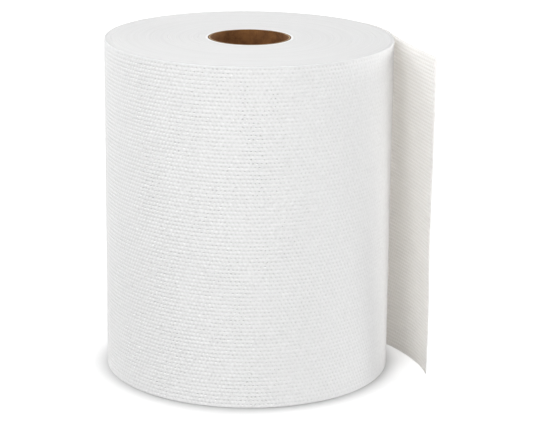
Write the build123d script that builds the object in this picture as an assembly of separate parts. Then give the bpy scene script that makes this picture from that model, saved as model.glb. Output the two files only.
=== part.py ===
from build123d import *
from math import copysign, radians
import os

# A hardwound paper towel roll standing on one end, with the last part of its web pulled free.
# The web is one long sheet wound on a cardboard core. Z runs up the core's axis from the surface
# that the roll stands on, and -Y is the front. Lengths are in mm, angles in degrees.

# The web
web_width = 203.2        # an 8 inch towel, so the roll is this tall
roll_diameter = 172.8    # under the last turn
sheet = 0.4              # thickness of the embossed sheet when nothing presses it
rim_bevel = 0.9          # the wound edges are a little crushed

# The core
core_bore = 45.8
core_wall = 2.0
winding_clearance = 0.1  # between the core and the first turn, on the radius

# The turns, as the ends of the roll show them: one seam that winds in from the loose end
turn_pitch = 9.6
seam_width = 0.5
seam_depth = 0.3

# The lamination line between the core's two plies, where its ends show it
ply_line_width = 0.4
ply_line_depth = 0.25

# The free tail. It leaves the roll along an upright line on the right, towards the back, and runs
# towards the front. Each bend is an arc: its length, and how far it turns the sheet. A turn under
# zero curls the sheet with the winding and one over zero flares it out, away from the roll.
lift_azimuth = 38        # of the line where the tail leaves, from +X towards +Y
peel_angle = 2           # between the tail and the roll's skin at that line
top_bends = ((41, -28.5), (75, 9.6))
foot_bends = ((28, -1.5), (64, -33.5))

roll_radius = roll_diameter / 2
core_outer_radius = core_bore / 2 + core_wall
web_bore_radius = core_outer_radius + winding_clearance

# Everything below is laid out with the line where the tail leaves at +X. The whole part is turned
# to its azimuth at the end.
lift_line = Vector(roll_radius, 0)
right_side = Plane.XZ


def half_roll(radius, centre_x, turn):
    """Half of the wound roll: its section from its own centre to the skin, turned about that centre."""
    section = right_side * Pos(centre_x + radius / 2, web_width / 2) * Rectangle(radius, web_width)
    rim = section.vertices().group_by(Axis.X)[-1]
    section = chamfer(rim, rim_bevel)
    return revolve(section, Axis((centre_x, 0, 0), (0, 0, 1)), turn)


def wound_roll():
    """The skin is a spiral of two arcs. It grows by one sheet in a turn and ends in a step."""
    rear = half_roll(roll_radius + sheet * 3 / 4, sheet / 4, 180)
    front = half_roll(roll_radius + sheet / 4, -sheet / 4, -180)
    return rear + front


def sheet_face(bends, offset):
    """One side of the tail in plan, as tangent arcs. The offset is its distance from the inner side."""
    point = lift_line + Vector(offset, 0)
    heading = Vector(0, -1).rotate(Axis.Z, peel_angle)
    arcs = []
    for length, turn in bends:
        radius = length / radians(abs(turn)) - copysign(offset, turn)
        arc = JernArc(point, heading, radius, turn)
        arcs.append(arc)
        point, heading = arc @ 1, arc % 1
    return arcs


def tail_plan(bends):
    """The tail's outline in plan: the step that it grows from, its two sides and its cut end."""
    inner = sheet_face(bends, 0)
    outer = sheet_face(bends, sheet)
    root = Line(inner[0] @ 0, outer[0] @ 0)
    cut_end = Line(inner[-1] @ 1, outer[-1] @ 1)
    return make_face([root, *inner, *outer, cut_end])


def free_tail():
    """The sheet between two edges that curl differently: the foot swings wider than the top."""
    return loft([tail_plan(foot_bends), Pos(0, 0, web_width) * tail_plan(top_bends)], ruled=True)


def seam_half_turns(face_height, inward):
    """The V of the seam on one end, as half turns about two centres, so that it spirals inwards."""
    halves = []
    radius = roll_radius - turn_pitch / 4
    side = 1
    while radius - turn_pitch / 2 > web_bore_radius + seam_width:
        centre = side * turn_pitch / 4
        v_cut = right_side * make_face(Polyline(
            (centre + radius - seam_width, face_height - inward * seam_depth),
            (centre + radius + seam_width, face_height - inward * seam_depth),
            (centre + radius, face_height + inward * seam_depth), close=True))
        halves.append(revolve(v_cut, Axis((centre, 0, 0), (0, 0, 1)), side * 180))
        radius -= turn_pitch / 2
        side = -side
    return halves


def paper_web():
    roll = wound_roll() + free_tail()
    roll -= Cylinder(web_bore_radius, web_width, align=(Align.CENTER, Align.CENTER, Align.MIN))
    roll -= seam_half_turns(0, 1)
    roll -= seam_half_turns(web_width, -1)
    return roll


def core_tube():
    """Two plies of board, wound and glued into one tube, with the line between them on its ends."""
    middle = core_bore / 2 + core_wall / 2
    wall = right_side * Pos(middle, web_width / 2) * Rectangle(core_wall, web_width)
    for end, inward in ((0, 1), (web_width, -1)):
        wall -= right_side * make_face(Polyline(
            (middle - ply_line_width, end - inward * ply_line_depth),
            (middle + ply_line_width, end - inward * ply_line_depth),
            (middle, end + inward * ply_line_depth), close=True))
    return revolve(wall, Axis.Z)


def save(part, name):
    placed = Rot(0, 0, lift_azimuth) * part
    placed.label = name
    export_step(placed, f"parts/{name}.step")
    print(name, "volume", round(placed.volume), "mm3", "valid", placed.is_valid)


os.makedirs("parts", exist_ok=True)
save(paper_web(), "paper_web")
save(core_tube(), "core_tube")
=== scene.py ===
import math

import bpy
import numpy as np
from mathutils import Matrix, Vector


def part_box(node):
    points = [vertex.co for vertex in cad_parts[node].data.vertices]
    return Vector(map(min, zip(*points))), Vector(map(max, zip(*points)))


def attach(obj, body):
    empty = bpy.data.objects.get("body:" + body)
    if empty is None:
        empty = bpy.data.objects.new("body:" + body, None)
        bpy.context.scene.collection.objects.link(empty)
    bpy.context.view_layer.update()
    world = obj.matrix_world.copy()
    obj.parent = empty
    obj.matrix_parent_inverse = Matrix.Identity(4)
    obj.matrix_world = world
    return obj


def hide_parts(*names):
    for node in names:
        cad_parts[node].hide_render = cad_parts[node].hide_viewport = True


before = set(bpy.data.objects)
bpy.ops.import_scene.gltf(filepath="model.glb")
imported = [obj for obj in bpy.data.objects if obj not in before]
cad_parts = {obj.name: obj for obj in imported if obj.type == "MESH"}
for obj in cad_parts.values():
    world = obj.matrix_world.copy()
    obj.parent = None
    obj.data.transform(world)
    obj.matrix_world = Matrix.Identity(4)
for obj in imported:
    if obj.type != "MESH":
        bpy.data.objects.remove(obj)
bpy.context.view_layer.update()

# A roll of embossed paper towel, standing on its end with the last of the sheet pulled free.
# Metres, +Z up the core, -Y is the front. Columns count the embossed pits along the web from the
# line where the tail leaves the roll: over 0 on the free tail, under 0 back round the roll.

mm = 0.001
sharpAngle = 50                     # degrees: cut edges stay crisp, and pits and rims shade softly
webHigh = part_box("paper_web")[1]
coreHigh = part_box("core_tube")[1]
print("stage: frame loaded")


# Small helpers

def linearColour(hexColour):
    channels = [int(hexColour[i:i + 2], 16) / 255 for i in (1, 3, 5)]
    return [c / 12.92 if c < 0.04045 else ((c + 0.055) / 1.055) ** 2.4 for c in channels] + [1]


def addNode(tree, kind, settings={}, links={}):
    node = tree.nodes.new(kind)
    for name, value in settings.items():
        if name == "stops":         # of a colour ramp, as (position, hex) pairs
            for index, (position, colour) in enumerate(value):
                elements = node.color_ramp.elements
                stop = elements[index] if index < 2 else elements.new(position)
                stop.position, stop.color = position, linearColour(colour)
        elif isinstance(name, str) and hasattr(node, name):
            setattr(node, name, value)
        else:
            node.inputs[name].default_value = value
    for name, source in links.items():
        tree.links.new(source, node.inputs[name])
    return node


def softNoise(x, y, size, seed):
    # a sum of waves of about this size, each with its own direction, length and phase
    dice = np.random.default_rng(seed)
    waves = 8
    total = 0
    for wave in range(waves):
        way = dice.uniform(0, 2 * math.pi)
        length = size * dice.uniform(0.6, 1.8)
        phase = dice.uniform(0, 2 * math.pi)
        along = x * math.cos(way) + y * math.sin(way)
        total = total + np.sin(along * 2 * math.pi / length + phase)
    return total / waves * 2


def smoothStep(value, start, end):
    share = np.clip((value - start) / (end - start), 0, 1)
    return share * share * (3 - 2 * share)


class Net:
    # Points, with their place on the unrolled web (column, run), and the faces between them.
    def __init__(self, over=False):
        self.place = np.empty((0, 3))
        self.column = np.empty(0)
        self.run = np.empty(0)
        self.pressedAndShade = np.empty(0)  # how hard the emboss pressed the paper here, and how much painted shade it gets
        self.groups = []
        self.over = over            # turn every face over at the end

    def points(self, place, column=0, run=0, pressedAndShade=0):
        first, shape = len(self.place), place.shape[:-1]
        self.place = np.concatenate([self.place, place.reshape(-1, 3)])
        self.column = np.concatenate([self.column, np.broadcast_to(column, shape).ravel()])
        self.run = np.concatenate([self.run, np.broadcast_to(run, shape).ravel()])
        self.pressedAndShade = np.concatenate([self.pressedAndShade, np.broadcast_to(pressedAndShade, shape).ravel()])
        return np.arange(first, len(self.place)).reshape(shape)

    def faces(self, corners, flat=None):
        self.groups.append((corners, flat))

    def between(self, lower, upper, flat=None):
        self.faces(np.stack([lower[:-1], lower[1:], upper[1:], upper[:-1]], axis=1), flat)


# Strips of the flat map, as their low and high edge, for the walls that hardly show.

strips = {
    "seamWall": (0.96, 0.97),       # of the last turn
    "partWall": (0.975, 0.98),
    "partFan": (0.985, 0.995),
    "foot": (0.96, 0.965),          # of the tail
    "root": (0.97, 0.975),
    "cutEnd": (0.98, 0.99),
    "drum": (0.02, 0.1),            # of the wound turns
    "bore": (0.12, 0.2),
}


def band(count, strip, corners=4):
    # places for this many faces side by side along a strip
    low, high = strip
    left = np.arange(count) / count
    right = left + 1 / count
    spots = [(left, low), (right, low), (right, high), (left, high)][:corners]
    return np.stack([np.stack([u, np.full(count, v)], -1) for u, v in spots], axis=1)


def makePiece(name, net, flatMap, material, replaced):
    # flatMap gives points their place on the piece's flat map, where a face doesn't bring its own
    corners = [g[:, ::-1] if net.over else g for g, flat in net.groups]
    flats = [flatMap(g) if flat is None else flat for g, flat in net.groups]
    flats = [f[:, ::-1] if net.over else f for f in flats]
    sizes = np.concatenate([np.full(len(g), g.shape[1]) for g in corners])
    used, corners = np.unique(np.concatenate([g.ravel() for g in corners]), return_inverse=True)
    mesh = bpy.data.meshes.new(name)
    mesh.vertices.add(len(used))
    mesh.vertices.foreach_set("co", net.place[used].astype(np.float32).ravel())
    mesh.loops.add(len(corners))
    mesh.loops.foreach_set("vertex_index", corners.astype(np.int32).ravel())
    mesh.polygons.add(len(sizes))
    mesh.polygons.foreach_set("loop_start", (np.cumsum(sizes) - sizes).astype(np.int32))
    mesh.update(calc_edges=True)
    layer = mesh.uv_layers.new(name="OFBake")
    flatPlaces = np.concatenate([f.reshape(-1, 2) for f in flats])
    layer.data.foreach_set("uv", flatPlaces.astype(np.float32).ravel())
    pressedAndShade = mesh.attributes.new("pressedAndShade", "FLOAT", "POINT")
    pressedAndShade.data.foreach_set("value", net.pressedAndShade[used].astype(np.float32))
    mesh.shade_smooth()
    mesh.set_sharp_from_angle(angle=math.radians(sharpAngle))
    mesh.materials.append(material)
    piece = bpy.data.objects.new(name, mesh)
    bpy.context.scene.collection.objects.link(piece)
    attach(piece, "root")
    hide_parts(replaced)
    print(f"stage: {name}, {int((sizes - 2).sum())} triangles")
    return piece


# The camera stands where the photographer did.

camera = {
    "place": (0, -1.2116, 0.4383),
    "turn": (74.123, -0.584, -0.366),           # degrees
    "lens": 139.07,                 # mm
    "sensor": 36,                   # mm wide
    "clip": (0.01, 50),
}


def addCamera():
    data = bpy.data.cameras.new("camera")
    data.sensor_width, data.lens = camera["sensor"], camera["lens"]
    data.clip_start, data.clip_end = camera["clip"]
    holder = bpy.data.objects.new("camera", data)
    holder.location = camera["place"]
    holder.rotation_euler = [math.radians(a) for a in camera["turn"]]
    bpy.context.scene.collection.objects.link(holder)
    bpy.context.scene.camera = holder


addCamera()


# The web is one long sheet, embossed with staggered rows of small pits.

web = {
    "rollRadius": 86.4 * mm,        # under the last turn
    "sheet": 0.4 * mm,
    "rimRadius": 0.45 * mm,         # the wound edges are a little crushed
    "rimSteps": 4,
    "rimColumns": (0, 9),           # over which the rim springs flat again on the tail
    "liftAzimuth": 38,              # degrees, of the line where the tail leaves
    "columnsRound": 223,            # pits in one turn
    "rows": 86,
    "rowPitch": 2.34 * mm,
    "pitRim": 0.75 * mm,            # radius
    "pitFloor": 0.24 * mm,          # radius
    "pitDepth": 0.74 * mm,
    "floorSink": 0.8,               # of that depth, for the ring round the pit's floor
    "pillow": 0.015 * mm,           # how far the paper stands up between the pits
    "rowRidge": 0.02 * mm,          # each row of pits pulls the sheet in along its whole length
    "freeRidge": 0.33 * mm,         # and more so where nothing holds the sheet flat
    "ridgeColumns": (0, 10),        # over which the ridges come up
    "ridgeInset": (1 * mm, 2.5 * mm),           # over which they fade towards the sheet's edges
    "freePits": 0.4,                # how much of their depth the pits have on the free sheet
    "freeColumns": (2, 12),         # over which they lose the rest
    "wornShare": 0.3,               # how much shallower the pits are where the winding pressed them
    "wornPatches": (42 * mm, 15 * mm),          # size of the large and small patches where it did
    "unevenPits": 0.25,             # how much deeper or shallower one pit is than the next
    "underTail": (142, 180, 0.75),  # the tail lay on these columns and pressed their pits flatter
    "slack": 0.05 * mm,             # slow waves in the wound skin
    "slackSize": 60 * mm,
    "slackColumns": (1, 8),         # over which they set in behind the line where the tail leaves
}

pressedAndShadeShare = {                    # how hard emboss and knife pressed the paper, which greys it; in the pits and along the inner rows this grey is also painted shade
    "pit": 0.6,                     # on the outer face, at full depth
    "row": 1,                       # on the inner face the plies are glued along whole rows,
    "besideRow": 0.6,               # so its lines run on from pit to pit
    "edge": 0.3,
}

webWidth = webHigh.z
lowestRow = (webWidth - (web["rows"] - 1) * web["rowPitch"]) / 2
liftAzimuth = math.radians(web["liftAzimuth"])
turnLength = 2 * math.pi * (web["rollRadius"] + web["sheet"] / 2)
columnPitch = turnLength / web["columnsRound"]

tail = {
    "peelAngle": 2,                 # degrees, between the tail and the skin
    "topBends": ((41 * mm, -28.5), (75 * mm, 9.6)),     # length and turn in degrees
    "footBends": ((28 * mm, -1.5), (64 * mm, -33.5)),
    "columns": 43,
    "bendShare": 0.33,              # of the tail's length where the first bend ends
    "slack": 0.45 * mm,             # slow waves in the free sheet
    "slackSize": 95 * mm,
    "slackColumns": (1, 16),
    "cornerCurl": 0.4 * mm,         # of the free top corner, which is a little bent
    "cornerReach": 3 * mm,
}
tailEnd = tail["columns"] + 0.5


def rowWave(column, height):
    inset = smoothStep(np.minimum(height, webWidth - height), *web["ridgeInset"])
    more = web["freeRidge"] - web["rowRidge"]
    ridge = web["rowRidge"] + more * smoothStep(column, *web["ridgeColumns"])
    return ridge * inset * np.cos((height - lowestRow) * 2 * math.pi / web["rowPitch"])


def arcMove(length, turn, heading, share):
    radius = length / turn
    ahead = heading + turn * share
    return np.stack([radius * (np.sin(ahead) - math.sin(heading)),
                     radius * (math.cos(heading) - np.cos(ahead))], axis=-1)


def tailEdge(bends, share):
    # the inner side's line at the foot or the top, and how fast it runs, in plan
    (firstLength, firstTurn), (lastLength, lastTurn) = [(l, math.radians(t)) for l, t in bends]
    heading = math.radians(tail["peelAngle"] - 90)
    inFirst = np.clip(share / tail["bendShare"], 0, 1)
    inLast = np.clip((share - tail["bendShare"]) / (1 - tail["bendShare"]), 0, 1)
    line = arcMove(firstLength, firstTurn, heading, inFirst)
    line = line + arcMove(lastLength, lastTurn, heading + firstTurn, inLast)
    line = line + np.array([web["rollRadius"], 0])
    ahead = heading + firstTurn * inFirst + lastTurn * inLast
    speed = np.where(share < tail["bendShare"], firstLength / tail["bendShare"],
                     lastLength / (1 - tail["bendShare"]))
    return line, np.stack([np.cos(ahead) * speed, np.sin(ahead) * speed], axis=-1)


def placeOnTail(column, height, proud):
    share = column / tailEnd
    footLine, footRun = tailEdge(tail["footBends"], share)
    topLine, topRun = tailEdge(tail["topBends"], share)
    rise = (height / webWidth)[..., None]
    line = footLine + (topLine - footLine) * rise
    run = footRun + (topRun - footRun) * rise
    run = run / np.linalg.norm(run, axis=-1, keepdims=True)
    outward = np.stack([-run[..., 1], run[..., 0]], axis=-1)
    noise = softNoise(column * columnPitch, height, tail["slackSize"], seed=11)
    wave = tail["slack"] * smoothStep(column, *tail["slackColumns"]) * noise
    toCorner = np.hypot((tailEnd - column) * columnPitch, webWidth - height)
    curl = tail["cornerCurl"] * (1 - smoothStep(toCorner, 0, tail["cornerReach"]))
    off = web["sheet"] + proud + wave - curl
    return np.concatenate([line + outward * off[..., None], height[..., None]], axis=-1)


def placeOnRoll(column, height, proud):
    share = -column / web["columnsRound"]
    slack = web["slack"] * softNoise(column * columnPitch, height, web["slackSize"], seed=5)
    slack = slack * smoothStep(-column, *web["slackColumns"])
    radius = web["rollRadius"] + web["sheet"] * (1 - share) + proud + slack
    angle = share * 2 * math.pi
    return np.stack([radius * np.cos(angle), radius * np.sin(angle), height], axis=-1)


def placeOnWeb(column, height, proud):
    # proud is how far a point stands outside the sheet's outer face
    column, height, proud = [np.array(a, float) for a in np.broadcast_arrays(column, height, proud)]
    proud = proud - rowWave(column, height)
    onRoll = placeOnRoll(np.minimum(column, 0), height, proud)
    onTail = placeOnTail(np.maximum(column, 0), height, proud)
    place = np.where((column > 0)[..., None], onTail, onRoll)
    x, y = place[..., 0].copy(), place[..., 1].copy()
    place[..., 0] = x * math.cos(liftAzimuth) - y * math.sin(liftAzimuth)
    place[..., 1] = x * math.sin(liftAzimuth) + y * math.cos(liftAzimuth)
    return place


def pitDepths(column, row, height):
    # each pit's own depth: the winding pressed some patches of the sheet flatter than others
    along = column * columnPitch
    large, small = web["wornPatches"]
    patches = softNoise(along, height, large, seed=3)
    patches = patches + 0.5 * softNoise(along, height, small, seed=4)
    worn = smoothStep(patches, -0.9, 0.9)
    dice = np.sin(column * 127.1 + row * 311.7) * 43758.5453    # a fixed throw for each pit
    own = 1 + web["unevenPits"] * (2 * (dice - np.floor(dice)) - 1)
    first, last, share = web["underTail"]
    flatter = 1 - share * smoothStep(-column, first, last)
    flatter = flatter * (1 - (1 - web["freePits"]) * smoothStep(column, *web["freeColumns"]))
    return web["pitDepth"] * own * flatter * (1 - web["wornShare"] * worn)


mapMargin = 4 * mm                  # of the flat pattern, past the sheet's edges
mapBorder = 0.01                    # of the flat map itself
mapPattern = (0.98, 0.94)           # how much of it the pattern takes; the strips lie above


def backRun(height):
    # the flat pattern goes up the sheet's outer face and down its inner one
    return 2 * webWidth + mapMargin - height


def flipped(corners, over):
    corners = corners.reshape(-1, corners.shape[-1])
    return corners[:, ::-1] if over else corners


def pitCells(net, first, count, inside=False):
    # Six-sided cells, one round each pit. The outer face has a floor and a rim to each pit, and the
    # inner face has the plain bump that the pit pushes through.
    rows, rowPitch = web["rows"], web["rowPitch"]
    sideCorner = (rowPitch ** 2 - columnPitch ** 2 / 4) / (2 * rowPitch)
    topCorner = rowPitch - sideCorner
    face = -web["sheet"] if inside else 0

    def centre(i, j):               # every other row stands half a pit ahead
        return first + i + 0.25 + 0.5 * (j % 2), lowestRow + j * rowPitch

    def addPoints(column, height, proud, pressedAndShade=0):
        run = backRun(height) if inside else height
        return net.points(placeOnWeb(column, height, face + proud), column, run, pressedAndShade)

    i, j = np.meshgrid(np.arange(-1, count + 1), np.arange(-1, rows), indexing="ij")
    column, height = centre(i, j)
    sides = addPoints(column + 0.5, height + sideCorner, web["pillow"])
    tops = addPoints(column, height + topCorner, web["pillow"])

    def side(i, j):
        return sides[i + 1, j + 1]

    def top(i, j):
        return tops[i + 1, j + 1]

    i, j = np.meshgrid(np.arange(count), np.arange(rows), indexing="ij")
    column, height = centre(i, j)
    depth = pitDepths(column, j, height)
    below = i - 1 + j % 2           # the cell to the lower left
    corner = [side(i, j), top(i, j), side(i - 1, j), top(below, j - 1), side(below, j - 1),
              top(below + 1, j - 1)]
    around = np.radians(30 + 60 * np.arange(6))

    def ring(radius, sink, pressedAndShade=0):
        ringColumn = column[..., None] + radius / columnPitch * np.cos(around)
        ringHeight = height[..., None] + radius * np.sin(around)
        return addPoints(ringColumn, ringHeight, -sink[..., None] + 0 * around, pressedAndShade)

    if inside:
        # on the inner face the rows are greyed: pressed paper, and painted shade lines along the
        # ridges
        middle = addPoints(column, height, -depth, pressedAndShadeShare["row"])
        floor = rim = ring(web["pitRim"], 0 * depth, pressedAndShadeShare["besideRow"])
    else:
        # painted shade: the pit's floor is greyed with its depth, on top of the pressed paper's own
        # grey
        pressedAndShade = pressedAndShadeShare["pit"] * depth / web["pitDepth"]
        middle = addPoints(column, height, -depth, pressedAndShade)
        rim = ring(web["pitRim"], 0 * depth)
        floor = ring(web["pitFloor"], web["floorSink"] * depth, pressedAndShade[..., None])
    for k in range(6):
        n = (k + 1) % 6
        net.faces(flipped(np.stack([rim[..., k], corner[k], corner[n], rim[..., n]], -1), inside))
        net.faces(flipped(np.stack([middle, floor[..., k], floor[..., n]], -1), inside))
        if not inside:
            wall = np.stack([floor[..., k], rim[..., k], rim[..., n], floor[..., n]], -1)
            net.faces(flipped(wall, inside))

    def border(k):
        line = [top(k - 1, -1), side(k - 1, 0)]
        for j in range(rows - 1):
            line += [top(k, j) if j % 2 == 0 else top(k - 1, j), side(k - 1, j + 1)]
        return np.array(line)

    span = np.arange(count)
    upper = np.stack([top(span, rows - 1), side(span, rows - 1)], -1).ravel()
    lower = np.stack([side(span - 1, -1), top(span, -1)], -1).ravel()
    return {
        "left": border(0),
        "right": border(count),
        "top": np.concatenate([[side(-1, rows - 1)], upper]),
        "bottom": np.concatenate([[top(-1, -1)], lower]),
    }


def edgeRings(net, line, end, face=0):
    # rows of points over the crushed rim, from the cells' last row to the sheet's very edge
    column = net.column[line]
    crushed = 1 - smoothStep(column, *web["rimColumns"])
    rings = [line]
    for lean in np.linspace(0, math.pi / 2, web["rimSteps"]):
        inset = web["rimRadius"] * (1 - math.cos(lean))
        fromEnd = web["rimRadius"] * (1 - math.sin(lean))
        height = webWidth - fromEnd if end == "top" else fromEnd
        past = web["rimRadius"] * lean - web["rimRadius"]
        run = webWidth + past if end == "top" else -past
        if face < 0:
            run = backRun(run)
        spots = placeOnWeb(column, height, face - inset * crushed)
        rings.append(net.points(spots, column, run, pressedAndShadeShare["edge"]))
    return rings


def joinRings(net, rings, end):
    # towards the top the rings go up the pattern, and towards the foot down it
    for near, far in zip(rings[:-1], rings[1:]):
        net.between(near, far) if end == "top" else net.between(far, near)


def withRim(line, rings, index, end):
    # a side's line, which runs from the foot to the top, goes on over the rim
    stack = [ring[index] for ring in rings[1:]]
    return line + [stack] if end == "top" else [stack[::-1]] + line


def webMap(net, firstColumn, lastColumn, lastRun):
    def place(corners):
        u = (net.column[corners] - firstColumn) / (lastColumn - firstColumn)
        v = (net.run[corners] + mapMargin) / (lastRun + 2 * mapMargin)
        return np.stack([u * mapPattern[0] + mapBorder, v * mapPattern[1] + mapBorder], axis=-1)
    return place


print("stage: web laid out")


# The last turn of the roll carries the emboss. It is cut into parts, so that none gets too heavy,
# and each is a closed shell.

cover = {
    "starts": (-223, -168, -112, -56, 0),       # columns where the parts meet
    "depth": 1.5 * mm,              # of the last turn, as the ends of the roll draw it
    "lip": 0.25 * mm,               # from the seam to the rounded lip beside it
    "wallInset": 0.95 * mm,         # the parts meet on a wall that stays clear under the pits
    "mapStep": 0.4 * mm,            # between the rim's rings on the flat pattern
}

turns = {
    "pitch": 1.2 * mm,              # drawn: the real sheet's is finer than the render shows
    "stepsRound": 168,
    "seamDepth": 0.12 * mm,
    "wander": 0.09 * mm,            # how far the seam strays from a true spiral
    "unevenness": 0.08 * mm,        # between the turns' edges
    "coreGap": 0.1 * mm,
    "byCore": 0.5 * mm,             # left without a seam
}


def seamRadius(turn):
    wander = turns["wander"] * (np.sin(turn * 4.7 + 1) + np.sin(turn * 2.9))
    return web["rollRadius"] + web["sheet"] - cover["depth"] - turns["pitch"] * turn + wander


def placeOnSeam(turn, angle, height, outward=0):
    radius = seamRadius(turn) + outward
    angle = angle + liftAzimuth
    spots = np.broadcast_arrays(radius * np.cos(angle), radius * np.sin(angle), height)
    return np.stack(spots, axis=-1)


def seamSink(turn):
    # deeper here and shallower there
    return turns["seamDepth"] * (0.7 + 0.3 * np.sin(turn * 7.3) * np.sin(turn * 3.1 + 2))


def coverPart(number, material):
    first, last = cover["starts"][number:number + 2]
    startsWeb = number == 0
    net = Net(over=True)
    cells = pitCells(net, first + startsWeb, last - first - startsWeb)
    left, lines = cells["left"], {"bottom": cells["bottom"], "top": cells["top"]}
    if startsWeb:                   # where this turn runs on under the next it is cut straight
        height = net.run[left]
        start = net.points(placeOnWeb(first, height, 0), first, height)
        net.between(left, start)
        left = start
        lines = {"bottom": np.append(start[0], lines["bottom"]),
                 "top": np.append(start[-1], lines["top"])}
    walls, seams = {}, {}
    for side, line in (("left", left), ("right", cells["right"])):
        column, height = net.column[line], net.run[line]
        inset = net.points(placeOnWeb(column, height, -cover["wallInset"]), column, height)
        near, far = (line, inset) if side == "left" else (inset, line)
        net.between(near, far, band(len(line) - 1, strips["partWall"]))
        walls[side] = [line[:1], inset, line[-1:]]
    for end in ("bottom", "top"):
        column = net.column[lines[end]]
        turn = -column / web["columnsRound"]
        angle = turn * 2 * math.pi
        edge = webWidth if end == "top" else 0
        inward = -1 if end == "top" else 1
        rings = edgeRings(net, lines[end], end)
        past = inward * cover["mapStep"]
        lip = placeOnSeam(turn, angle, edge, cover["lip"])
        seam = placeOnSeam(turn, angle, edge + inward * seamSink(turn))
        rings.append(net.points(lip, column, edge - past * 3))
        rings.append(net.points(seam, column, edge - past * 4))
        joinRings(net, rings, end)
        seams[end] = rings[-1]
        for side, index in (("left", 0), ("right", -1)):
            walls[side] = withRim(walls[side], rings, index, end)
    net.between(seams["top"], seams["bottom"], band(len(seams["top"]) - 1, strips["seamWall"]))
    for side in ("left", "right"):  # each wall is a fan round its lowest point, then its highest
        line = np.concatenate(walls[side]).astype(int)
        half = len(line) // 2
        fan = [(line[0], line[k], line[k + 1]) for k in range(1, half)]
        fan += [(line[0], line[half], line[-1])]
        fan += [(line[-1], line[k], line[k + 1]) for k in range(half, len(line) - 2)]
        fan = flipped(np.array(fan), side == "right")
        net.faces(fan, band(len(fan), strips["partFan"], corners=3))
    flatMap = webMap(net, first, last, webWidth)
    makePiece(f"last_turn_{number + 1}", net, flatMap, material, "paper_web")


# The free tail is the same sheet, so both its faces show the emboss.

def freeTail(material):
    net = Net(over=True)
    faces = {"outer": 0, "inner": -web["sheet"]}
    rings, lefts, rights = {}, {}, {}
    for name, face in faces.items():
        inside = name == "inner"
        cells = pitCells(net, 0, tail["columns"], inside)
        line = cells["right"]
        height = net.place[line, 2]
        cut = net.points(placeOnWeb(tailEnd, height, face), tailEnd, net.run[line])
        net.between(line, cut) if inside else net.between(cut, line)
        lefts[name], rights[name] = [cells["left"]], [cut]
        for end, corner in (("bottom", cut[0]), ("top", cut[-1])):
            rings[name, end] = edgeRings(net, np.append(cells[end], corner), end, face)
            joinRings(net, rings[name, end], "top" if (end == "top") != inside else "bottom")
            for sides, index in ((lefts, 0), (rights, -1)):
                sides[name] = withRim(sides[name], rings[name, end], index, end)
    lefts, rights = [{name: np.concatenate(line).astype(int) for name, line in sides.items()}
                     for sides in (lefts, rights)]
    count = tail["columns"] * 2 + 1
    net.between(rings["outer", "top"][-1], rings["inner", "top"][-1])
    net.between(rings["inner", "bottom"][-1], rings["outer", "bottom"][-1],
                band(count, strips["foot"]))
    walls = len(lefts["outer"]) - 1
    net.between(lefts["outer"], lefts["inner"], band(walls, strips["root"]))
    net.between(rights["inner"], rights["outer"], band(walls, strips["cutEnd"]))
    flatMap = webMap(net, -0.5, tailEnd, backRun(0))
    makePiece("free_tail", net, flatMap, material, "paper_web")


# Inside the last turn the roll is one body. Its seam winds in to the core over both ends.

def woundTurns(material):
    net = Net()
    steps = turns["stepsRound"]
    boreRadius = coreHigh.x + turns["coreGap"]
    fullTurns = int((seamRadius(0) - boreRadius - turns["byCore"]) / turns["pitch"]) - 1
    profile = np.array([0, 0.2, 0.8])           # of a turn: the seam and the two lips beside it
    line = np.arange(3 * fullTurns + 4)
    turn = (line // 3 + profile[line % 3])[:, None] + np.arange(steps) / steps
    uneven = 0.5 + 0.25 * (np.sin(turn * 3.3) + np.sin(turn * 8.1 + 1) * np.sin(turn * 0.9))
    sink = turns["unevenness"] * uneven + np.where(line % 3 == 0, 1, 0)[:, None] * seamSink(turn)
    sink[0] = seamSink(turn[0])
    angle = np.arange(steps) * 2 * math.pi / steps
    bearing = angle + liftAzimuth
    around = boreRadius * np.stack([np.cos(bearing), np.sin(bearing)], axis=-1)
    outerLoops, boreLoops = {}, {}
    for end, edge, way in (("bottom", 0, 1), ("top", webWidth, -1)):
        spots = net.points(placeOnSeam(turn, angle, edge + way * sink))
        spots = np.concatenate([spots, np.append(spots[3:, 0], [0, 0, 0])[:, None]], axis=1)
        inner, outer = spots[1:3 * fullTurns + 1], spots[:3 * fullTurns]
        net.faces(flipped(np.stack([outer[:, :-1], outer[:, 1:], inner[:, 1:], inner[:, :-1]], -1),
                          end == "bottom"))
        bore = net.points(np.column_stack([around, np.full(steps, edge)]))
        bore = np.append(bore, bore[0])
        last = spots[3 * fullTurns]
        quads = np.stack([last[:-1], last[1:], bore[1:], bore[:-1]], axis=1)
        net.faces(flipped(quads[1:], end == "bottom"))
        step = np.append(quads[0], spots[3 * fullTurns + 3:3 * fullTurns:-1, 0])[None]
        net.faces(flipped(step, end == "bottom"))
        outerLoops[end] = np.concatenate([spots[0], spots[2::-1, 0]])
        boreLoops[end] = bore
    walls = len(outerLoops["top"]) - 1
    net.between(outerLoops["bottom"], outerLoops["top"], band(walls, strips["drum"]))
    net.between(boreLoops["top"], boreLoops["bottom"], band(steps, strips["bore"]))

    def ends(corners):              # each end is a round patch of the flat map
        place = net.place[corners]
        upper = place[..., 2] > webWidth / 2
        spot = place[..., :2] / webHigh.y * 0.24
        return np.stack([np.where(upper, 0.25, 0.75) + spot[..., 0], 0.6 + spot[..., 1]], axis=-1)
    makePiece("wound_turns", net, ends, material, "paper_web")


# The core is two plies of board, wound on the slant and glued. Its cut ends show the glue line.

core = {
    "bore": 22.9 * mm,              # radius
    "steps": 144,
    "worn": 0.2 * mm,               # the cut edges are a little rounded, in two steps
    "glueLine": 0.3 * mm,           # half its width
    "glueSink": 0.18 * mm,
}


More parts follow.
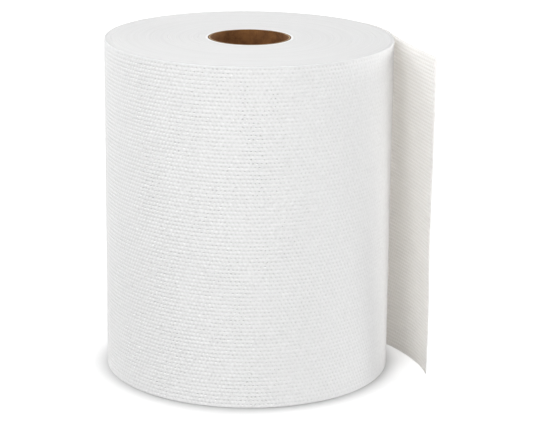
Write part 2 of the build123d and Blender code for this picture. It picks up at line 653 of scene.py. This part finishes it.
def coreTube(material):
    net = Net()
    outside = coreHigh.x
    middle = (core["bore"] + outside) / 2
    worn, line = core["worn"], core["glueLine"]
    step = worn * 0.3
    half = [(core["bore"], worn), (core["bore"] + step, step), (core["bore"] + worn, 0),
            (middle - line, 0), (middle, core["glueSink"]), (middle + line, 0),
            (outside - worn, 0), (outside - step, step), (outside, worn)]
    profile = half[::-1] + [(radius, webWidth - sink) for radius, sink in half]
    profile = np.array(profile + profile[:1])
    length = np.append(0, np.cumsum(np.hypot(*np.diff(profile, axis=0).T)))
    angle = np.linspace(0, 2 * math.pi, core["steps"], endpoint=False)
    places = np.stack([profile[:, :1] * np.cos(angle), profile[:, :1] * np.sin(angle),
                       profile[:, 1:] + 0 * angle], axis=-1)
    rings = net.points(places[:-1])
    rings = np.concatenate([rings, rings[:1]])
    rings = np.concatenate([rings, rings[:, :1]], axis=1)
    for index in range(len(rings) - 1):
        low, high = length[index:index + 2] / length[-1]
        net.between(rings[index + 1], rings[index], band(core["steps"], (high, low)))
    makePiece("core_plies", net, None, material, "core_tube")


# Materials

def newMaterial(name):
    material = bpy.data.materials.new(name)
    material.use_nodes = True
    tree = material.node_tree
    return material, tree, tree.nodes["Principled BSDF"]


def finishMatt(tree, shader, colour, bump, look):
    # everything here is dry paper or board, with at most a faint sheen
    tree.links.new(colour, shader.inputs["Base Color"])
    tree.links.new(bump.outputs["Normal"], shader.inputs["Normal"])
    shader.inputs["Roughness"].default_value = look["roughness"]
    shader.inputs["IOR"].default_value = 1.5
    shader.inputs["Specular IOR Level"].default_value = look["gloss"]


paper = {
    "fibre": "#e9e9e9",
    "thin": "#e4e4e4",              # between the flocs the sheet is thinner and greyer
    "flocSize": 1.6 * mm,
    "fibreWidth": 0.35 * mm,        # real fibres are finer than the render shows
    "pit": "#dcdcdc",               # where the emboss glued the plies together they look greyer; in the pits this grey is also painted shade
    "roughness": 0.92,
    "gloss": 0.2,
    "lightThrough": 0.55,           # a single sheet lets this share of the light through each face
    "throughTint": "#fdfaf5",       # warmer than what it returns
    "sheetTint": "#f9fbff",         # a single sheet keeps hardly any light, so its own colour is
    "sheetLift": 0.95,              # lifted to this tint by this share
}


def embossedTowelPaper(name, lightThrough=0):
    # Dry-creped tissue pressed between rolls: matt all over, with soft clouds of thicker fibre.
    # Wound on the roll it is as white as a solid, and a single sheet glows a little from behind.
    material, tree, shader = newMaterial(name)
    spot = addNode(tree, "ShaderNodeTexCoord").outputs["Object"]
    flocs = addNode(tree, "ShaderNodeTexNoise", {"Scale": 1 / paper["flocSize"], "Detail": 3},
                    {"Vector": spot})
    stops = [(0.38, paper["thin"]), (0.6, paper["fibre"])]
    tint = addNode(tree, "ShaderNodeValToRGB", {"stops": stops}, {"Fac": flocs.outputs[0]})
    fibres = addNode(tree, "ShaderNodeTexNoise", {"Scale": 1 / paper["fibreWidth"], "Detail": 2},
                     {"Vector": spot})
    bump = addNode(tree, "ShaderNodeBump", {"Strength": 0.25, "Distance": 0.04 * mm},
                   {"Height": fibres.outputs[0]})
    colour = tint.outputs["Color"]
    if lightThrough:
        lifted = {"data_type": "RGBA", 0: paper["sheetLift"], 7: linearColour(paper["sheetTint"])}
        colour = addNode(tree, "ShaderNodeMix", lifted, {6: colour}).outputs[2]
    # painted shade in the pits and along the inner rows, carried by the pressed grey
    pressedAndShade = addNode(tree, "ShaderNodeAttribute", {"attribute_name": "pressedAndShade"})
    colour = addNode(tree, "ShaderNodeMix", {"data_type": "RGBA", 7: linearColour(paper["pit"])},
                     {0: pressedAndShade.outputs["Fac"], 6: colour}).outputs[2]
    finishMatt(tree, shader, colour, bump, paper)
    if lightThrough:
        throughTint = linearColour(paper["throughTint"])
        glow = addNode(tree, "ShaderNodeBsdfTranslucent", {"Color": throughTint},
                       {"Normal": bump.outputs["Normal"]})
        both = addNode(tree, "ShaderNodeMixShader", {0: lightThrough},
                       {1: shader.outputs[0], 2: glow.outputs[0]})
        tree.links.new(both.outputs[0], tree.nodes["Material Output"].inputs["Surface"])
    return material


cutEdges = {
    "proud": "#eeeeee",
    "sunk": "#e8e8e8",
    "highlightRingByCore": 1.7 * mm,         # round the core the ends are lifted to white: a painted highlight ring
    "layer": 0.4 * mm,              # a few sheets' edges, drawn as coarse as the render can show
    "changes": 12,                  # in a metre: how soon the rings change on their way round
    "roughness": 0.95,
    "gloss": 0.15,
}


def slitPaperEdges():
    # The slit ends of many sheets pressed together: fine rings, a little uneven, still matt.
    material, tree, shader = newMaterial("slit paper edges")
    spot = addNode(tree, "ShaderNodeTexCoord").outputs["Object"]
    flat = addNode(tree, "ShaderNodeVectorMath", {"operation": "MULTIPLY", 1: (1, 1, 0)}, {0: spot})
    radius = addNode(tree, "ShaderNodeVectorMath", {"operation": "LENGTH"}, {0: flat.outputs[0]})
    layers = addNode(tree, "ShaderNodeMath", {"operation": "DIVIDE", 1: cutEdges["layer"]},
                     {0: radius.outputs["Value"]})
    slow = addNode(tree, "ShaderNodeVectorMath",
                   {"operation": "SCALE", "Scale": cutEdges["changes"]}, {0: flat.outputs[0]})
    parts = addNode(tree, "ShaderNodeSeparateXYZ", {}, {0: slow.outputs[0]})
    ringSpot = addNode(tree, "ShaderNodeCombineXYZ", {},
                       {0: layers.outputs[0], 1: parts.outputs[0], 2: parts.outputs[1]})
    rings = addNode(tree, "ShaderNodeTexNoise", {"Scale": 1, "Detail": 2},
                    {"Vector": ringSpot.outputs[0]})
    stops = [(0.3, cutEdges["sunk"]), (0.6, cutEdges["proud"])]
    tint = addNode(tree, "ShaderNodeValToRGB", {"stops": stops}, {"Fac": rings.outputs[0]})
    # painted highlight: a whiter ring round the core, fading over its outer part
    whiter = {"From Min": coreHigh.x + cutEdges["highlightRingByCore"],
              "From Max": coreHigh.x + cutEdges["highlightRingByCore"] * 0.6}
    byCore = addNode(tree, "ShaderNodeMapRange", whiter, {"Value": radius.outputs["Value"]})
    tint = addNode(tree, "ShaderNodeMix", {"data_type": "RGBA", 7: (1, 1, 1, 1)},
                   {0: byCore.outputs[0], 6: tint.outputs["Color"]})
    bump = addNode(tree, "ShaderNodeBump", {"Strength": 0.35, "Distance": 0.06 * mm},
                   {"Height": rings.outputs[0]})
    finishMatt(tree, shader, tint.outputs[2], bump, cutEdges)
    return material


board = {
    "dark": "#4a2b0f",
    "light": "#7b5129",
    "cutEdge": "#5c3d20",
    "glue": "#c2a983",
    "glueBand": (0.36 * mm, 0.16 * mm),         # where the glue line starts and is at its palest
    "seam": "#3c2816",
    "fibre": 0.6 * mm,
    "seamLead": 95 * mm,            # how far the ply's butt joint climbs in one turn
    "seamWidth": 0.6 * mm,
    "seamShade": 0.45,
    "roughness": 0.85,
    "gloss": 0.3,
}


def spiralKraftBoard():
    # Unbleached kraft wound on the slant: brown and matt, flecked with fibre and cloudy, so that
    # the bore doesn't look painted.
    material, tree, shader = newMaterial("spiral wound kraft board")
    spot = addNode(tree, "ShaderNodeTexCoord").outputs["Object"]
    fibres = addNode(tree, "ShaderNodeTexNoise",
                     {"Scale": 1 / board["fibre"], "Detail": 4, "Roughness": 0.6}, {"Vector": spot})
    clouds = addNode(tree, "ShaderNodeTexNoise", {"Scale": 1 / (board["fibre"] * 12), "Detail": 2},
                     {"Vector": spot})
    mixed = addNode(tree, "ShaderNodeMath", {"operation": "ADD"},
                    {0: fibres.outputs[0], 1: clouds.outputs[0]})
    halved = addNode(tree, "ShaderNodeMath", {"operation": "MULTIPLY", 1: 0.5},
                     {0: mixed.outputs[0]})
    stops = [(0.35, board["dark"]), (0.65, board["light"])]
    face = addNode(tree, "ShaderNodeValToRGB", {"stops": stops}, {"Fac": halved.outputs[0]})

    # the cut ends have a plain brown of their own, with the paler glue line between the plies
    parts = addNode(tree, "ShaderNodeSeparateXYZ", {}, {0: spot})
    flat = addNode(tree, "ShaderNodeVectorMath", {"operation": "MULTIPLY", 1: (1, 1, 0)}, {0: spot})
    radius = addNode(tree, "ShaderNodeVectorMath", {"operation": "LENGTH"}, {0: flat.outputs[0]})
    middle = (core["bore"] + coreHigh.x) / 2
    fromGlue = addNode(tree, "ShaderNodeMath", {"operation": "SUBTRACT", 1: middle},
                       {0: radius.outputs["Value"]})
    fromGlue = addNode(tree, "ShaderNodeMath", {"operation": "ABSOLUTE"}, {0: fromGlue.outputs[0]})
    near, palest = board["glueBand"]
    glued = addNode(tree, "ShaderNodeMapRange", {"From Min": near, "From Max": palest},
                    {"Value": fromGlue.outputs[0]})
    tints = {"data_type": "RGBA", 6: linearColour(board["cutEdge"]), 7: linearColour(board["glue"])}
    cut = addNode(tree, "ShaderNodeMix", tints, {0: glued.outputs[0]})
    normal = addNode(tree, "ShaderNodeNewGeometry").outputs["True Normal"]
    facing = addNode(tree, "ShaderNodeSeparateXYZ", {}, {0: normal})
    facing = addNode(tree, "ShaderNodeMath", {"operation": "ABSOLUTE"}, {0: facing.outputs[2]})
    isCut = addNode(tree, "ShaderNodeMapRange", {"From Min": 0.3, "From Max": 0.8},
                    {"Value": facing.outputs[0]})
    tint = addNode(tree, "ShaderNodeMix", {"data_type": "RGBA"},
                   {0: isCut.outputs[0], 6: face.outputs["Color"], 7: cut.outputs[2]})

    # the butt joint climbs round the bore as a fine dark line
    angle = addNode(tree, "ShaderNodeMath", {"operation": "ARCTAN2"},
                    {0: parts.outputs[1], 1: parts.outputs[0]})
    lead = board["seamLead"]
    climb = addNode(tree, "ShaderNodeMath", {"operation": "MULTIPLY", 1: lead / (2 * math.pi)},
                    {0: angle.outputs[0]})
    level = addNode(tree, "ShaderNodeMath", {"operation": "SUBTRACT"},
                    {0: parts.outputs[2], 1: climb.outputs[0]})
    level = addNode(tree, "ShaderNodeMath", {"operation": "PINGPONG", 1: lead / 2},
                    {0: level.outputs[0]})
    onSeam = addNode(tree, "ShaderNodeMapRange",
                     {"From Min": board["seamWidth"], "From Max": board["seamWidth"] / 2},
                     {"Value": level.outputs[0]})
    shade = addNode(tree, "ShaderNodeMath", {"operation": "MULTIPLY", 1: board["seamShade"]},
                    {0: onSeam.outputs[0]})
    tint = addNode(tree, "ShaderNodeMix", {"data_type": "RGBA", 7: linearColour(board["seam"])},
                   {0: shade.outputs[0], 6: tint.outputs[2]})
    height = addNode(tree, "ShaderNodeMath", {"operation": "SUBTRACT"},
                     {0: fibres.outputs[0], 1: onSeam.outputs[0]})
    bump = addNode(tree, "ShaderNodeBump", {"Strength": 0.4, "Distance": 0.1 * mm},
                   {"Height": height.outputs[0]})
    finishMatt(tree, shader, tint.outputs[2], bump, board)
    return material


woundPaper = embossedTowelPaper("embossed towel paper, wound")
for number in range(len(cover["starts"]) - 1):
    coverPart(number, woundPaper)
freeTail(embossedTowelPaper("embossed towel paper, single sheet", paper["lightThrough"]))
woundTurns(slitPaperEdges())
coreTube(spiralKraftBoard())


# The studio: a pale sweep and soft lamps. The strongest is high on the front left, so that every
# pit has a lit side and a shaded one.

studio = {
    "floorWidth": 14,
    "floor": "#a8a8a8",             # as the camera sees it
    "floorReturn": "#9e9e9e",       # as it lights the roll: more from below would hide the emboss
    "floorLift": 0.9,               # what the sweep adds for the camera alone, to read white
    "paintedContactShadow": (0.72, 11 * mm),     # how much of that lift a painted soft shadow takes, and how fast it fades
    "paintedShadowLean": (0, -3 * mm, 0),             # the painted shadow reaches further in front
    "room": 0.01,
    "roomTint": "#fafbff",
    "lamps": {                      # place, width and power; all are white
        "high front left": ((-0.85, -1.55, 2.1), 0.8, 34),
        "left": ((-1.9, -0.9, 0.9), 1.2, 15.5),
        "high left": ((-1.9, -0.3, 1.8), 1.2, 18),
        "front right": ((1.2, -1.55, 0.4), 1.4, 19),
        "right": ((1.55, -0.95, 0.45), 1.4, 11),
        "behind right": ((1.6, 1.05, 0.5), 1.2, 29),
        "behind left": ((-1.3, 1.5, 0.7), 1.2, 14),
    },
}


def cameraSees(tree):
    # 1 for rays that show the background itself, straight or through gloss and glass, but not for
    # the light that a thin sheet scatters through
    path = addNode(tree, "ShaderNodeLightPath")
    sees = path.outputs["Is Camera Ray"]
    for name in ("Is Glossy Ray", "Is Transmission Ray"):
        either = addNode(tree, "ShaderNodeMath", {"operation": "MAXIMUM"},
                         {0: sees, 1: path.outputs[name]})
        sees = either.outputs[0]
    return addNode(tree, "ShaderNodeMath", {"operation": "SUBTRACT", "use_clamp": True},
                   {0: sees, 1: path.outputs["Is Diffuse Ray"]}).outputs[0]


def addFloor():
    material, tree, shader = newMaterial("white sweep")
    sees = cameraSees(tree)
    tints = {"data_type": "RGBA", 6: linearColour(studio["floorReturn"]),
             7: linearColour(studio["floor"])}
    colour = addNode(tree, "ShaderNodeMix", tints, {0: sees})
    tree.links.new(colour.outputs[2], shader.inputs["Base Color"])
    shader.inputs["Roughness"].default_value = 1
    shader.inputs["Specular IOR Level"].default_value = 0
    spot = addNode(tree, "ShaderNodeTexCoord").outputs["Object"]
    # painted contact shadow: near the roll the camera's lift is taken down with distance
    away = addNode(tree, "ShaderNodeVectorMath",
                   {"operation": "DISTANCE", 1: studio["paintedShadowLean"]}, {0: spot})
    away = addNode(tree, "ShaderNodeMath", {"operation": "SUBTRACT", 1: web["rollRadius"]},
                   {0: away.outputs["Value"]})
    share, reach = studio["paintedContactShadow"]
    shade = addNode(tree, "ShaderNodeMath", {"operation": "DIVIDE", 1: -reach},
                    {0: away.outputs[0]})
    shade = addNode(tree, "ShaderNodeMath", {"operation": "EXPONENT"}, {0: shade.outputs[0]})
    shade = addNode(tree, "ShaderNodeMath", {"operation": "MULTIPLY", 1: share},
                    {0: shade.outputs[0]})
    lift = addNode(tree, "ShaderNodeMath", {"operation": "SUBTRACT", "use_clamp": True, 0: 1},
                   {1: shade.outputs[0]})
    lift = addNode(tree, "ShaderNodeMath", {"operation": "MULTIPLY", 1: studio["floorLift"]},
                   {0: lift.outputs[0]})
    lift = addNode(tree, "ShaderNodeMath", {"operation": "MULTIPLY"}, {0: sees, 1: lift.outputs[0]})
    shader.inputs["Emission Color"].default_value = (1, 1, 1, 1)
    tree.links.new(lift.outputs[0], shader.inputs["Emission Strength"])
    half = studio["floorWidth"] / 2
    mesh = bpy.data.meshes.new("sweep")
    corners = [(-half, -half, 0), (half, -half, 0), (half, half, 0), (-half, half, 0)]
    mesh.from_pydata(corners, [], [(0, 1, 2, 3)])
    mesh.materials.append(material)
    floor = bpy.data.objects.new("sweep", mesh)
    bpy.context.scene.collection.objects.link(floor)


def addRoom():
    world = bpy.data.worlds.new("white room")
    world.use_nodes = True
    tree = world.node_tree
    tree.nodes.clear()
    dim = {"Color": linearColour(studio["roomTint"]), "Strength": studio["room"]}
    lighting = addNode(tree, "ShaderNodeBackground", dim)
    seen = addNode(tree, "ShaderNodeBackground", {"Color": (1, 1, 1, 1), "Strength": 1})
    both = addNode(tree, "ShaderNodeMixShader", {},
                   {0: cameraSees(tree), 1: lighting.outputs[0], 2: seen.outputs[0]})
    addNode(tree, "ShaderNodeOutputWorld", {}, {"Surface": both.outputs[0]})
    bpy.context.scene.world = world


def addLamps():
    aim = Vector((0, 0, webWidth / 2))
    for name, (place, width, power) in studio["lamps"].items():
        lamp = bpy.data.lights.new(name, "AREA")
        lamp.shape, lamp.size, lamp.energy = "DISK", width, power
        holder = bpy.data.objects.new(name, lamp)
        holder.location = place
        holder.rotation_euler = (aim - Vector(place)).to_track_quat("-Z", "Y").to_euler()
        bpy.context.scene.collection.objects.link(holder)


addFloor()
addRoom()
addLamps()
bpy.context.scene.view_settings.view_transform = "Standard"
print("stage: studio lit")
